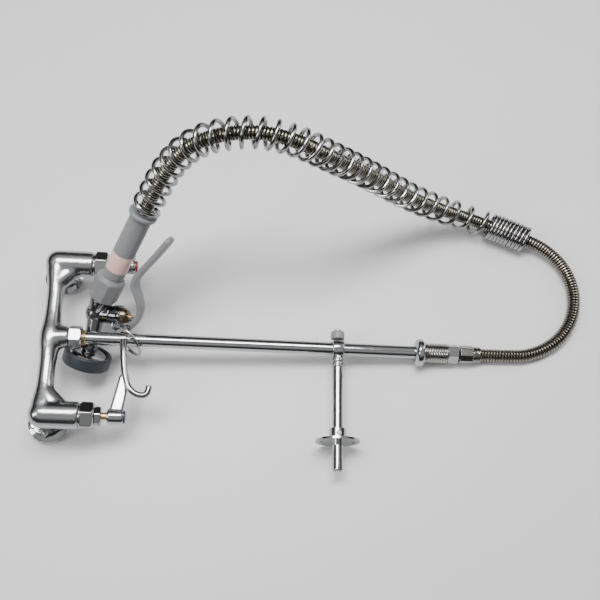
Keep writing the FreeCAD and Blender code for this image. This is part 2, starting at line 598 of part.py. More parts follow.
PIVOT = (-9.0, 50.5)
RING_EYE = Vector(81.4, 17.1, 59.8)
RING_NORMAL = Vector(0.68, 0.70, -0.22).normalize()
RING_REACH = Vector(0.65, -0.71, -0.26)
RING_REACH = (RING_REACH - RING_NORMAL * RING_REACH.dot(RING_NORMAL)).normalize()


def make_squeeze_lever():
    """Squeeze lever: a bent, coated strip on a pivot pin, with an eye and a hanging ring at its foot."""
    line = [(-13, 50.3), (8, 55), (30, 49), (49, 31.5), (66, 30.5), (104, 39.2), (137, 45.5)]
    points = [GRIP_FOOT + GRIP_AXIS * along + LEVER_SIDE * out for along, out in line]
    wide = size("squeeze_width") / 2
    foot = size("squeeze_foot_width") / 2
    thick = size("squeeze_thick")
    strip = ribbon(points, thick, 2 * wide + 4, LEVER_NORMAL)
    half_plan = [(-22, foot), (14, foot), (34, wide - 1), (60, wide - 1), (100, wide), (127, wide),
                 (134, wide - 3), (138, wide - 7)]
    plan = half_plan + [(along, -half) for along, half in reversed(half_plan)]
    corners = [GRIP_FOOT + GRIP_AXIS * along + LEVER_NORMAL * half + LEVER_SIDE * 10 for along, half in plan]
    cutter = Part.Face(Part.makePolygon(corners + corners[:1])).extrude(LEVER_SIDE * 60)
    strip = strip.common(cutter)
    pivot = on_grip(*PIVOT).Base
    boss = Part.makeCylinder(5.0, 2 * foot, pivot - LEVER_NORMAL * foot, LEVER_NORMAL)
    hole = Part.makeCylinder(size("pivot_r") + 0.05, 60, pivot - LEVER_NORMAL * 30, LEVER_NORMAL)
    feature("squeeze_lever", strip.fuse(boss).cut(hole))
    feature("pivot_pin", Part.makeCylinder(size("pivot_r"), 2 * foot + 6, pivot - LEVER_NORMAL * (foot + 3),
                                           LEVER_NORMAL))
    make_yoke(pivot, foot)
    feature("hanging_ring", Part.makeTorus(size("ring_r"), size("ring_wire_r"),
                                           RING_EYE + RING_REACH * size("ring_r"), RING_NORMAL))


def make_yoke(pivot, foot):
    """Two cheeks from a band round the bonnet, holding the lever's pin."""
    band_at = on_bonnet(BONNET_START + 8).Base
    band = Part.makeCylinder(13.4, 7, band_at - BONNET_AXIS * 3.5, BONNET_AXIS)
    pieces = [band]
    for side in (-1, 1):
        shift = LEVER_NORMAL * side * (foot + 1.9)
        pieces.append(rod_between(band_at + LEVER_NORMAL * side * 12.6, pivot + shift, 2.6, 1.4))
        pieces.append(Part.makeCylinder(4.0, 2.6, pivot + shift - LEVER_NORMAL * 1.3, LEVER_NORMAL))
    pieces.append(Part.makeTorus(4.9, 1.7, RING_EYE, RING_NORMAL.cross(RING_REACH)))
    foot_of_eye = band_at + BONNET_AXIS * (RING_EYE - band_at).dot(BONNET_AXIS)
    outward = (RING_EYE - foot_of_eye).normalize()
    pieces.append(rod_between(foot_of_eye + outward * 12.4, RING_EYE - outward * 4.6, 2.2))
    ring_way = Part.makeTorus(size("ring_r"), size("ring_wire_r") + 0.8,
                              RING_EYE + RING_REACH * size("ring_r"), RING_NORMAL)
    bonnet = Part.makeCylinder(size("valve_bonnet_r") + 0.02, 60, on_bonnet(0).Base, BONNET_AXIS)
    pin_way = Part.makeCylinder(size("pivot_r"), 60, pivot - LEVER_NORMAL * 30, LEVER_NORMAL)
    feature("lever_yoke", pieces[0].multiFuse(pieces[1:]).cut(bonnet.multiFuse([pin_way, ring_way])))


make_body()
make_inlets()
make_valve("hot", 1, 125)
make_valve("cold", -1, 0)
HOSE_START = make_riser()
make_hook()
make_bracket()
make_grip()
make_spray_valve()
make_spray_head()
make_squeeze_lever()
make_hose(HOSE_START)

doc.recompute()

broken = []
for obj in doc.Objects:
    if "Invalid" in obj.State or "Error" in obj.State:
        broken.append(obj.Name)
for part in SUBPARTS:
    if part.Shape.isNull() or not part.Shape.isValid():
        broken.append(part.Label)
if broken:
    raise SystemExit("failed: " + ", ".join(broken))

os.makedirs("parts", exist_ok=True)
for part in SUBPARTS:
    part.Shape.exportStep("parts/" + part.Label + ".step")
print(len(SUBPARTS), "parts written")
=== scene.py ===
import math

import bpy
import numpy as np
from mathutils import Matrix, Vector


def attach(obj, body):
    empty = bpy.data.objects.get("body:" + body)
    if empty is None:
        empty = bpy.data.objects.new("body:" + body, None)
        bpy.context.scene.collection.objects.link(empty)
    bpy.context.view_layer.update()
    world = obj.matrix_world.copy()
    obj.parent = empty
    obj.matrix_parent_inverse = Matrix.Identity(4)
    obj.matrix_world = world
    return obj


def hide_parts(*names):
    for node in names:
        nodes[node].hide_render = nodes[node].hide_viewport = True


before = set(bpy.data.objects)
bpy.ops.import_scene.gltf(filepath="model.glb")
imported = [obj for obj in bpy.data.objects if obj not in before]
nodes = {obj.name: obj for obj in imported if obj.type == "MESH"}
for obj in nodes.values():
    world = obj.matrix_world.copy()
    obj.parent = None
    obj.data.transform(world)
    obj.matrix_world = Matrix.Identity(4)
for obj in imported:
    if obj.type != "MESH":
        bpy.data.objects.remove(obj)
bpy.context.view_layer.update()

# ---------------------------------------------------------------- camera
# A 37 degree lens stands over the near side of the table and looks down at the faucet, which
# lies with its riser across the view and its sprung hose arched up towards the lens.
lens = bpy.data.cameras.new("lens")
lens.sensor_fit = "HORIZONTAL"
lens.angle = math.radians(36.87)
lens.clip_end = 20
camera = bpy.data.objects.new("camera", lens)
camera.location = (0.312, -0.353, 1.163)
look = Vector((0.0056, 0.3479, -0.9375)).normalized()
level = Vector((0.9998, 0.0144, 0.0114)).normalized()
upright = level.cross(look).normalized()
turn = camera.rotation_euler.to_matrix()
for row in range(3):
    turn[row] = (level[row], upright[row], -look[row])
camera.rotation_euler = turn.to_euler()
bpy.context.scene.collection.objects.link(camera)
bpy.context.scene.camera = camera

# ---------------------------------------------------------------- hose
# Stripwound stainless steel hose, about 1 m of it between its nut and the grip. Each turn of
# the folded strip is a rounded rib a few millimetres wide, with painted shade darkening the groove by it.
MM = 0.001


def along(points, stops):
    """Points, tangents, normals and binormals on a polyline at the given distances from its
    start. Each normal is the one before it, less its part along the new tangent, so that the
    frame never spins."""
    runs = np.linalg.norm(np.diff(points, axis=0), axis=1)
    marks = np.concatenate(([0.0], np.cumsum(runs)))
    half_step = 0.5 * MM
    place, near, far = (
        np.stack([np.interp(np.clip(stops + shift, 0, marks[-1]), marks, points[:, k]) for k in range(3)], 1)
        for shift in (0, -half_step, half_step))
    tangent = (far - near) / np.linalg.norm(far - near, axis=1, keepdims=True)
    normal = np.zeros_like(tangent)
    last = np.cross(tangent[0], (0.1, 0.9, 0.3))
    for stop in range(len(tangent)):
        last = last - tangent[stop] * last.dot(tangent[stop])
        last = last / np.linalg.norm(last)
        normal[stop] = last
    return place, tangent, normal, np.cross(tangent, normal)


def skin(name, rows, loop=False, sharp=30):
    """A closed mesh from a grid of points, rows by columns by 3. Columns wrap round; the end
    rows are closed by a fan about their middle, or joined to each other in a loop."""
    count, wide = rows.shape[:2]
    points = rows.reshape(-1, 3)
    row = np.arange(count if loop else count - 1)[:, None]
    column = np.arange(wide)[None, :]
    after = (column + 1) % wide
    below = (row + 1) % count
    corners = [row * wide + column, row * wide + after, below * wide + after, below * wide + column]
    quads = np.stack(corners, -1).reshape(-1, 4)
    fans = np.zeros((0, 3), int)
    if not loop:
        start, end = len(points), len(points) + 1
        points = np.vstack([points, rows[0].mean(axis=0), rows[-1].mean(axis=0)])
        ring = np.arange(wide)
        turned_ring = (ring + 1) % wide
        last = (count - 1) * wide
        fans = np.vstack([np.stack([turned_ring, ring, np.full(wide, start)], -1),
                          np.stack([last + ring, last + turned_ring, np.full(wide, end)], -1)])
    a, b, c, d = (points[quads[:, k]] for k in range(4))
    volume = (a * np.cross(b, c)).sum() + (a * np.cross(c, d)).sum()
    volume += (points[fans[:, 0]] * np.cross(points[fans[:, 1]], points[fans[:, 2]])).sum()
    if volume < 0:
        quads = quads[:, ::-1]
        fans = fans[:, ::-1]
    mesh = bpy.data.meshes.new(name)
    mesh.vertices.add(len(points))
    mesh.vertices.foreach_set("co", points.astype(np.float32).ravel())
    loops = np.concatenate([quads.ravel(), fans.ravel()])
    mesh.loops.add(len(loops))
    mesh.loops.foreach_set("vertex_index", loops.astype(np.int32))
    mesh.polygons.add(len(quads) + len(fans))
    starts = np.concatenate([np.arange(len(quads)) * 4, len(quads) * 4 + np.arange(len(fans)) * 3])
    mesh.polygons.foreach_set("loop_start", starts.astype(np.int32))
    mesh.update(calc_edges=True)
    mesh.validate()
    mesh.shade_smooth()
    mesh.set_sharp_from_angle(angle=math.radians(sharp))
    piece = bpy.data.objects.new(name, mesh)
    bpy.context.scene.collection.objects.link(piece)
    return piece


def tube(name, points, stops, radii, sides=28):
    """Circles of the given radii round a polyline: place + r * (cos a * normal + sin a * binormal)."""
    place, tangent, normal, across = along(points, stops)
    angle = np.linspace(0, 2 * np.pi, sides, endpoint=False)
    circle = np.cos(angle)[None, :, None] * normal[:, None] + np.sin(angle)[None, :, None] * across[:, None]
    return skin(name, place[:, None] + np.broadcast_to(radii, len(stops))[:, None, None] * circle)


class Socket:
    """One output of a material's nodes. Arithmetic on it adds Math nodes."""

    def __init__(self, tree, link=None):
        self.tree = tree
        self.link = link

    def make(self, kind, settings, sockets, out=0):
        """Adds a node: its settings, a ramp's stops among them, then its sockets' values or links."""
        node = self.tree.nodes.new(kind)
        for name, value in settings.items():
            if name == "stops":
                while len(node.color_ramp.elements) < len(value):
                    node.color_ramp.elements.new(0.5)
                for element, (at, shade) in zip(node.color_ramp.elements, value):
                    element.position = at
                    element.color = (shade, shade, shade, 1)
            else:
                setattr(node, name, value)
        for name, value in sockets.items():
            if isinstance(value, Socket):
                self.tree.links.new(value.link, node.inputs[name])
            else:
                node.inputs[name].default_value = value
        return Socket(self.tree, node.outputs[out])

    def maths(self, operation, first, second=0.0):
        """A Math node on two values."""
        return self.make("ShaderNodeMath", {"operation": operation}, {0: first, 1: second})

    def __add__(self, other):
        return self.maths("ADD", self, other)

    __radd__ = __add__

    def __sub__(self, other):
        return self.maths("SUBTRACT", self, other)

    def __rsub__(self, other):
        return self.maths("SUBTRACT", other, self)

    def __mul__(self, other):
        return self.maths("MULTIPLY", self, other)

    __rmul__ = __mul__

    def noise(self, scale, detail=4.0, rough=0.55):
        """Noise over the piece's own coordinates, with features about 1/scale metres across."""
        return self.make("ShaderNodeTexNoise", {}, {"Vector": self, "Scale": scale, "Detail": detail,
                                                    "Roughness": rough})

    def stretched(self, x, y, z):
        """The same coordinates, longer or shorter along each axis."""
        return self.make("ShaderNodeMapping", {}, {"Vector": self, "Scale": (x, y, z)})

    def ramp(self, *stops):
        """This value through a ramp of (position, value) stops."""
        return self.make("ShaderNodeValToRGB", {"stops": stops}, {0: self})

    def blend(self, dark, light):
        """A colour between two, by this value."""
        return self.make("ShaderNodeMix", {"data_type": "RGBA"}, {0: self, 6: dark, 7: light}, 2)

    def bump(self, strength, height):
        """A normal that follows this value, at this strength and height in metres."""
        return self.make("ShaderNodeBump", {}, {"Height": self, "Strength": strength, "Distance": height})


def new_finish(name, **fixed):
    """An empty material with one shader; returns it, its shader and the piece's own coordinates."""
    material = bpy.data.materials.new(name)
    material.use_nodes = True
    tree = material.node_tree
    tree.nodes.clear()
    shader = tree.nodes.new("ShaderNodeBsdfPrincipled")
    output = tree.nodes.new("ShaderNodeOutputMaterial")
    tree.links.new(shader.outputs[0], output.inputs[0])
    for socket, value in fixed.items():
        shader.inputs[socket.replace("_", " ")].default_value = value
    return material, shader, Socket(tree).make("ShaderNodeTexCoord", {}, {}, "Object")


def lead_to(shader, **links):
    """Links values that change over the surface to the shader's sockets."""
    for socket, value in links.items():
        value.tree.links.new(value.link, shader.inputs[socket.replace("_", " ")])


def shade(colour, k):
    """A colour, k times as bright."""
    return tuple(min(1.0, c * k) for c in colour) + (1,)


def metal(name, colour, rough, wave=0.0, stretch=(1, 1, 1), grime=0.10, fine=0.02):
    """Metal with faint finger smears, a haze of fine scratches, and where it is cast a slow ripple."""
    material, shader, where = new_finish(name, Metallic=1.0)
    smear = where.noise(70, 5)
    haze = where.stretched(*stretch).noise(900, 3)
    specks = where.noise(2600, 2).ramp((0.66, 0.0), (0.74, 1.0))
    lead_to(shader,
            Base_Color=(smear * 0.7 + specks * 0.3).blend(shade(colour, 1.0), shade(colour, 1 - grime)),
            Roughness=smear.ramp((0.35, 0.0), (0.75, 1.0)) * 0.05 + haze * fine * 2 + rough,
            Normal=(where.noise(38, 2) * wave + haze * fine).bump(0.35, 0.0009))
    return material


def dress(names, material):
    """Gives CAD nodes a finish."""
    for name in names:
        mesh = nodes[name].data
        mesh.materials.clear()
        mesh.materials.append(material)


def fit(piece, material, node, body="faucet"):
    """Finishes a piece, rides it on its body and lets it stand for its CAD node."""
    piece.data.materials.append(material)
    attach(piece, body)
    if node:
        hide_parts(node)
    return piece


SLOPE = math.radians(5.17)
RISER_WAY = np.array((math.cos(SLOPE), 0, -math.sin(SLOPE)))
OUTWARD = np.array((math.sin(SLOPE), 0, math.cos(SLOPE)))
BAR_WAY = np.array((0.0, 1.0, 0.0))


def on_faucet(x, y, z):
    """A place x mm along the riser, y along the bar and z off the wall, in metres."""
    return (np.array((0, 0, 62.0)) + x * RISER_WAY + y * BAR_WAY + z * OUTWARD) * MM


FOOT = np.array((61.4, 52.1, 66.0))
TOP = np.array((126.8, 125.3, 172.0))
GRIP_WAY = (TOP - FOOT) / np.linalg.norm(TOP - FOOT)
GRIP_RUN = np.linalg.norm(TOP - FOOT)

hose_exit = on_faucet(563.2, 0, 0)
on_table = [(592, 0, 9.4), (627, 0.5, 9), (664, 18, 9), (689, 50, 9), (697, 90, 9), (687, 128, 9.8),
            (661, 155, 14), (627, 169, 19.2)]
arch = [(588, 185, 19.8), (545, 195, 30), (500, 194, 60), (458, 189, 102), (420, 184, 150),
        (384, 176, 198), (350, 168, 240.5), (314, 168, 273), (275, 171, 287), (232, 171, 284),
        (192, 168, 265), (161, 158, 229)]
route = [tuple(hose_exit / MM)] + on_table + arch + [tuple(TOP + 24 * GRIP_WAY), tuple(TOP - 14 * GRIP_WAY)]


def smooth_line(name, points):
    """The points on a NURBS spline of order 3 with these control points in mm."""
    curve = bpy.data.curves.new(name, "CURVE")
    curve.dimensions = "3D"
    curve.resolution_u = 24
    spline = curve.splines.new("NURBS")
    spline.points.add(len(points) - 1)
    for knot, point in zip(spline.points, points):
        knot.co = (point[0] * MM, point[1] * MM, point[2] * MM, 1)
    spline.order_u = 3
    spline.use_endpoint_u = True
    holder = bpy.data.objects.new(name, curve)
    bpy.context.scene.collection.objects.link(holder)
    bpy.context.view_layer.update()
    mesh = bpy.data.meshes.new_from_object(holder)
    line = np.zeros(len(mesh.vertices) * 3)
    mesh.vertices.foreach_get("co", line)
    bpy.data.objects.remove(holder)
    bpy.data.meshes.remove(mesh)
    return line.reshape(-1, 3)


hose_line = smooth_line("hose_line", route)
hose_length = np.linalg.norm(np.diff(hose_line, axis=0), axis=1).sum()
rib = 3.9 * MM
ribs = int(hose_length / rib)
groove_depth = 1.5
hose_sides = 26
beat = np.array((0.0, 0.10, 0.26, 0.50, 0.74, 0.90))
rise = np.array((-1.50, -0.55, 0.0, 0.0, -0.35, -1.00))
stops = (np.arange(ribs)[:, None] + beat[None, :]).ravel() * (hose_length / ribs)
hose = tube("hose_ribs", hose_line, stops, (8.68 + np.tile(rise, ribs)) * MM, hose_sides)
# How deep each ring lies in its groove, 0 on a crest and 1 at the bottom: the mask for the painted shade in
# the grooves.
depth = np.append(np.tile(-rise / groove_depth, ribs).repeat(hose_sides), (1.0, 1.0))
corner_point = np.zeros(len(hose.data.loops), int)
hose.data.loops.foreach_get("vertex_index", corner_point)
groove_map = hose.data.uv_layers.new(name="groove")
groove_uv = np.stack([depth[corner_point], np.zeros(len(corner_point))], -1)
groove_map.data.foreach_set("uv", groove_uv.ravel())
strip_steel, shader, where = new_finish("strip_steel", Metallic=1.0)
in_groove = where.make("ShaderNodeUVMap", {"uv_map": "groove"}, {})
groove = where.make("ShaderNodeSeparateXYZ", {}, {0: in_groove}, 0)
worn = where.noise(70, 5)
# The steel's colour goes to near black towards the bottom of each groove as painted shade, with a little
# random wear tone on top.
lead_to(shader,
        Base_Color=(groove * 0.85 + worn * 0.25).blend((0.30, 0.275, 0.235, 1), (0.035, 0.03, 0.025, 1)),
        Roughness=groove * 0.25 + worn * 0.06 + 0.14, Normal=where.noise(900, 3).bump(0.2, 0.0003))
fit(hose, strip_steel, "hose")

# ---------------------------------------------------------------- overhead spring
# One coil of 5.4 mm stainless wire that holds the hose up. Its first turns are close wound,
# on the table, and the rest are open, closer over the top of the arch. It ends on the grip's rim.
coil_r, wire_r = 16.7 * MM, 2.7 * MM
runs = np.concatenate(([0.0], np.cumsum(np.linalg.norm(np.diff(hose_line, axis=0), axis=1))))
coil_start = runs[np.argmin(np.linalg.norm(hose_line - np.array((0.632, 0.1645, 0.0197)), axis=1))]
coil_end = runs[np.argmin(np.linalg.norm(hose_line - (TOP + 3.0 * GRIP_WAY) * MM, axis=1))]
tight, loose = 10.0, 32.0
tight_run = tight * 5.45 * MM
turns = np.linspace(0, tight + loose, int((tight + loose) * 32))
share = np.linspace(0, 1, 400)
pitch = np.interp(share, (0, 0.35, 0.62, 0.80, 1), (1.30, 1.12, 0.80, 0.88, 0.92))
count = np.cumsum(1 / pitch) - 1 / pitch[0]
open_share = np.interp(turns - tight, count * loose / count[-1], share)
open_reach = tight_run + (coil_end - coil_start - tight_run) * open_share
reach = coil_start + np.where(turns < tight, turns * tight_run / tight, open_reach)
place, tangent, normal, across = along(hose_line, reach)
spin = (turns * -2 * np.pi)[:, None]
coil_line = place + coil_r * (np.cos(spin) * normal + np.sin(spin) * across)
coil_length = np.linalg.norm(np.diff(coil_line, axis=0), axis=1).sum()
wire_stops = np.linspace(0, coil_length, len(turns))
spring = tube("spring_coil", coil_line, wire_stops, np.full(len(turns), wire_r), 12)
spring_steel = metal("spring_steel", (0.36, 0.355, 0.35), 0.12, fine=0.03, grime=0.22)
fit(spring, spring_steel, "overhead_spring")

# ---------------------------------------------------------------- mixing body
# Chromed brass casting: a slim bar that swells into two elbows with a valve arm and an inlet
# each, and a boss in the middle for the riser. Every corner is a cast fillet.
def turned_rows(profile, origin, axis, sides=96):
    """Circles of radius r at distance x along an axis from an origin, for each (x, r) in mm."""
    axis = np.array(axis, float) / np.linalg.norm(axis)
    side = np.cross(axis, (0.31, 0.17, 0.93))
    side = side / np.linalg.norm(side)
    other = np.cross(axis, side)
    angle = np.linspace(0, 2 * np.pi, sides, endpoint=False)
    circle = np.cos(angle)[:, None] * side + np.sin(angle)[:, None] * other
    x, r = np.array(profile, float).T * MM
    return origin + x[:, None, None] * axis + r[:, None, None] * circle


def eased(profile, radius=0.5, steps=4):
    """The outline with each corner replaced by a short parabola from one side to the other."""
    points = np.array(profile, float)
    before, corner, after = points[:-2], points[1:-1], points[2:]
    into, out = corner - before, after - corner
    into_run = np.linalg.norm(into, axis=1, keepdims=True)
    out_run = np.linalg.norm(out, axis=1, keepdims=True)
    start = corner - into * np.minimum(radius / into_run, 0.45)
    end = corner + out * np.minimum(radius / out_run, 0.45)
    s = np.linspace(0, 1, steps + 1)[None, :, None]
    bend = (1 - s) ** 2 * start[:, None] + 2 * s * (1 - s) * corner[:, None] + s ** 2 * end[:, None]
    return np.vstack([points[:1], bend.reshape(-1, 2), points[-1:]])


def turned(name, profile, origin, axis, sides=96, ease=0.5, sharp=30):
    """A lathe-turned piece, its corners eased."""
    return skin(name, turned_rows(eased(profile, ease), origin, axis, sides), sharp=sharp)


def joined(name, pieces, voxel, smooth):
    """Pieces made one skin: a fine remesh joins them and a smoothing rounds where they meet."""
    mesh = bpy.data.meshes.new(name)
    points, faces, base = [], [], 0
    for piece in pieces:
        co = np.zeros(len(piece.data.vertices) * 3)
        piece.data.vertices.foreach_get("co", co)
        points.append(co.reshape(-1, 3))
        faces += [[v + base for v in face.vertices] for face in piece.data.polygons]
        base += len(piece.data.vertices)
        bpy.data.objects.remove(piece)
    mesh.from_pydata(np.vstack(points).tolist(), [], faces)
    whole = bpy.data.objects.new(name, mesh)
    bpy.context.scene.collection.objects.link(whole)
    grid = whole.modifiers.new("one_skin", "REMESH")
    grid.mode = "VOXEL"
    grid.voxel_size = voxel * MM
    grid.use_smooth_shade = True
    soften = whole.modifiers.new("fillets", "SMOOTH")
    soften.factor = 0.5
    soften.iterations = smooth
    bpy.context.view_layer.update()
    cast = bpy.data.meshes.new_from_object(whole.evaluated_get(bpy.context.evaluated_depsgraph_get()))
    whole.modifiers.clear()
    whole.data = cast
    cast.shade_smooth()
    return whole


HALF = 101.6
half_bar = [(7, 14.2), (19, 11.9), (34, 10.7), (HALF - 38, 10.9), (HALF - 24, 13.2), (HALF - 10, 16.0),
            (HALF + 2, 14.9)]
bar_profile = [(-x, r) for x, r in reversed(half_bar)] + half_bar
lumps = [turned("bar", bar_profile, on_faucet(0, 0, 0), BAR_WAY, ease=8),
         turned("boss", [(-9, 9), (-4, 13.8), (20, 14.0), (24, 13.6)], on_faucet(0, 0, 0), RISER_WAY)]
BODY_ELBOW_R = 17.4
ball = [(-BODY_ELBOW_R * math.cos(a), BODY_ELBOW_R * math.sin(a)) for a in np.linspace(0.15, math.pi / 2, 12)]
for side in (-1, 1):
    corner = on_faucet(0, side * HALF, 0)
    lumps.append(turned("arm", ball + [(38, 17.5), (46.0, 17.3)], corner, RISER_WAY))
    for reach, radius, foot in ((28, 12.5, HALF), (17, 9.5, 0)):
        start = on_faucet(0, side * abs(foot - reach), 0)
        gusset = on_faucet(reach, side * foot, 0) - start
        run = np.linalg.norm(gusset) / MM
        web = [(0, radius - 2), (2, radius), (run - 2, radius), (run, radius - 2)]
        lumps.append(turned("gusset", web, start, gusset))
    lumps.append(turned("inlet", [(-6, 10), (0, 13.8), (34.4, 13.8)], corner, -OUTWARD))
body = joined("cast_body", lumps, 1.2, 36)
cast_chrome = metal("cast_chrome", (0.44, 0.445, 0.455), 0.17, wave=0.4, fine=0.02)
fit(body, cast_chrome, "mixing_body")

# ---------------------------------------------------------------- inlets
# A hex union nut and a round wall flange hang from each elbow, with a rubber washer between.
def hexed(name, profile, flats, origin, axis, across, sides=6, columns=168):
    """A nut: at each distance x the radius is the lesser of the turned outline and the flats,
    (flats / 2) / cos(angle from the middle of the flat), with corners taken off."""
    axis = np.array(axis, float) / np.linalg.norm(axis)
    across = np.array(across, float) - axis * np.dot(across, axis)
    across = across / np.linalg.norm(across)
    other = np.cross(axis, across)
    angle = np.linspace(0, 2 * np.pi, columns, endpoint=False)
    part = 2 * np.pi / sides
    off = (angle + part / 2) % part - part / 2
    flat = np.minimum(flats / 2 / np.cos(off), flats / 2 / math.cos(part / 2) - 0.25)
    outline = eased(profile, 0.7)
    x, r = outline.T
    radius = np.minimum(r[:, None], flat[None, :])
    circle = np.cos(angle)[:, None] * across + np.sin(angle)[:, None] * other
    rows = origin + MM * (x[:, None, None] * axis + radius[:, :, None] * circle[None])
    return skin(name, rows, sharp=24)


def domed(length, flats, low=0.5, high=2.5, sides=6):
    """Outline of a nut's turned ends: a small chamfer at its start and a rounded crown at its end."""
    corner = flats / 2 / math.cos(math.pi / sides)
    steps = np.linspace(0, 1, 7)
    crown = [(length - high + high * s, corner + 0.1 - (corner - flats / 2 + 1.2) * s ** 2) for s in steps]
    middle = [(x, corner + 0.1) for x in np.linspace(low, length - high, 6)[:-1]]
    return [(0.0, flats / 2 - 0.3)] + middle + crown


nut_chrome = metal("nut_chrome", (0.46, 0.465, 0.47), 0.07, wave=0.12, fine=0.012, grime=0.16)
rubber, shader, where = new_finish("washer_rubber", Roughness=0.7)
lead_to(shader, Base_Color=where.noise(600).blend((0.02, 0.02, 0.022, 1), (0.05, 0.05, 0.052, 1)),
        Normal=where.noise(900, 2).bump(0.4, 0.0002))
for name, side in (("hot", 1), ("cold", -1)):
    nut = hexed(name + "_union", domed(15.0, 38.0), 38.0, on_faucet(0, side * HALF, -29), -OUTWARD, RISER_WAY)
    fit(nut, nut_chrome, name + "_union_nut")
    outline = [(0, 12.7), (8.3, 12.7), (8.5, 15), (11.6, 19), (14.2, 25.3), (16.7, 25.4), (16.9, 13.4),
               (24.7, 13.4)]
    flange = turned(name + "_flange", outline, on_faucet(0, side * HALF, -36), -OUTWARD)
    fit(flange, nut_chrome, name + "_wall_flange")
dress(["hot_inlet_washer", "cold_inlet_washer"], rubber)

# ---------------------------------------------------------------- valves
# Each valve arm takes a hex bonnet, a small gland nut and a brass spindle. Inside is a pair of
# lapped ceramic discs.
brass = metal("bare_brass", (0.72, 0.55, 0.30), 0.24, fine=0.05, grime=0.35)
ceramic, shader, where = new_finish("lapped_ceramic", Roughness=0.2)
lead_to(shader, Base_Color=where.noise(800).blend((0.72, 0.71, 0.67, 1), (0.82, 0.81, 0.78, 1)))
dress(["hot_fixed_disc", "cold_fixed_disc"], ceramic)
for name, side in (("hot", 1), ("cold", -1)):
    outline = [(0, 15.6), (1.2, 16.2), (2.4, 15.4)] + [(x + 2.4, r) for x, r in domed(16.4, 31.6, 0.4, 4.5)]
    bonnet = hexed(name + "_bonnet_hex", outline, 31.8, on_faucet(46.0, side * HALF, 0), RISER_WAY, BAR_WAY)
    fit(bonnet, nut_chrome, name + "_bonnet")
    gland = hexed(name + "_gland_hex", domed(8.0, 21.8, 0.6, 1.6), 21.8,
                  on_faucet(65.0, side * HALF, 0), RISER_WAY, BAR_WAY)
    fit(gland, nut_chrome, name + "_gland_nut")
dress(["hot_spindle", "cold_spindle"], brass)

# ---------------------------------------------------------------- lever handles
# Chromed lever handles: a round hub with a flat blade that narrows to a round end, held by a
# screw under a coloured index button.
def blade_rows(centre, side, up, half_width, half_thick, power=3.2, columns=56):
    """Rounded box sections: |u|^p + |v|^p = 1 scaled by the half width and half thickness."""
    angle = np.linspace(0, 2 * np.pi, columns, endpoint=False)
    u = np.sign(np.cos(angle)) * np.abs(np.cos(angle)) ** (2 / power)
    v = np.sign(np.sin(angle)) * np.abs(np.sin(angle)) ** (2 / power)
    wide = half_width[:, None, None] * u[None, :, None] * side[:, None]
    deep = half_thick[:, None, None] * v[None, :, None] * up[:, None]
    return centre[:, None] + MM * (wide + deep)


handle_chrome = metal("handle_chrome", (0.47, 0.475, 0.48), 0.07, wave=0.25, fine=0.010)
HUB_START = 80.0
BLADE = 50.0
INDEX = {"hot": ("red", (0.30, 0.01, 0.015, 1), (0.42, 0.03, 0.03, 1)),
         "cold": ("blue", (0.006, 0.016, 0.06, 1), (0.010, 0.026, 0.09, 1))}
for name, side, lift in (("hot", 1, 125), ("cold", -1, 0)):
    body_name = name + "_handle"
    hub_at = on_faucet(HUB_START, side * HALF, 0)
    hub = turned(name + "_hub", [(0, 7.0), (0.3, 8.9), (2.2, 9.95), (17.5, 9.95), (20.2, 9.2), (20.4, 8.6),
                                 (19.2, 8.4), (19.0, 6.0)], hub_at, RISER_WAY, ease=0.7)
    fit(hub, handle_chrome, name + "_lever_handle", body_name)
    lever_way = -side * math.cos(math.radians(lift)) * BAR_WAY + math.sin(math.radians(lift)) * OUTWARD
    lever_side = np.cross(RISER_WAY, lever_way)
    tilt = math.radians(9)
    lean_way = math.cos(tilt) * lever_way + math.sin(tilt) * RISER_WAY
    round_end = BLADE + 7.0 * np.sin(np.linspace(0, 0.495 * np.pi, 14)[1:])
    reach_mm = np.concatenate([np.linspace(4, BLADE, 26), round_end])
    past = np.clip((reach_mm - BLADE) / 7.05, 0, 1)
    share = reach_mm / BLADE
    width = np.where(share < 1, 8.75 - 1.75 * share, 7.0 * np.sqrt(1 - past ** 2))
    thick = np.where(share < 1, 3.3 - 0.5 * share, 2.8 * np.sqrt(1 - past ** 4) + 0.02)
    centre = hub_at + MM * (9.5 * RISER_WAY + reach_mm[:, None] * lean_way)
    face = np.broadcast_to(np.cross(lever_side, lean_way), (len(reach_mm), 3))
    edge = np.broadcast_to(lever_side, (len(reach_mm), 3))
    blade = skin(name + "_blade", blade_rows(centre, face, edge, width, thick))
    fit(blade, handle_chrome, None, body_name)
    tint, colour, pale = INDEX[name]
    gloss, shader, where = new_finish(name + "_index_enamel", Roughness=0.18, Coat_Weight=0.6,
                                      Coat_Roughness=0.08)
    lead_to(shader, Base_Color=where.noise(500).blend(colour, pale),
            Normal=where.noise(260, 2).bump(0.1, 0.0003))
    outline = [(0, 8.3), (1.2, 8.5), (2.2, 8.0), (2.7, 6.5), (2.8, 3.4), (2.5, 3.1), (2.5, 2.4)]
    button = turned(name + "_index", outline, on_faucet(HUB_START + 20.4, side * HALF, 0), RISER_WAY)
    fit(button, gloss, name + "_index_button", body_name)
    dot = turned(name + "_index_pin", [(0, 2.2), (0.5, 2.3), (0.9, 1.6), (1.0, 0.6)],
                 on_faucet(HUB_START + 22.6, side * HALF, 0), RISER_WAY, sides=40)
    fit(dot, nut_chrome, None, body_name)
dress(["hot_handle_screw", "cold_handle_screw"], nut_chrome)

# ---------------------------------------------------------------- riser
# Chromed brass tube screwed to the body through a short adapter, with a domed hex nut that
# leaves a few bare brass threads showing.
pipe_chrome = metal("pipe_chrome", (0.47, 0.475, 0.485), 0.05, wave=0.05, stretch=(0.05, 1, 1), fine=0.010)
outlet = hexed("outlet_hex", domed(15.5, 28.0, 0.6, 4.2), 28.0, on_faucet(24.2, 0, 0), RISER_WAY, OUTWARD)
fit(outlet, nut_chrome, "outlet_nut")


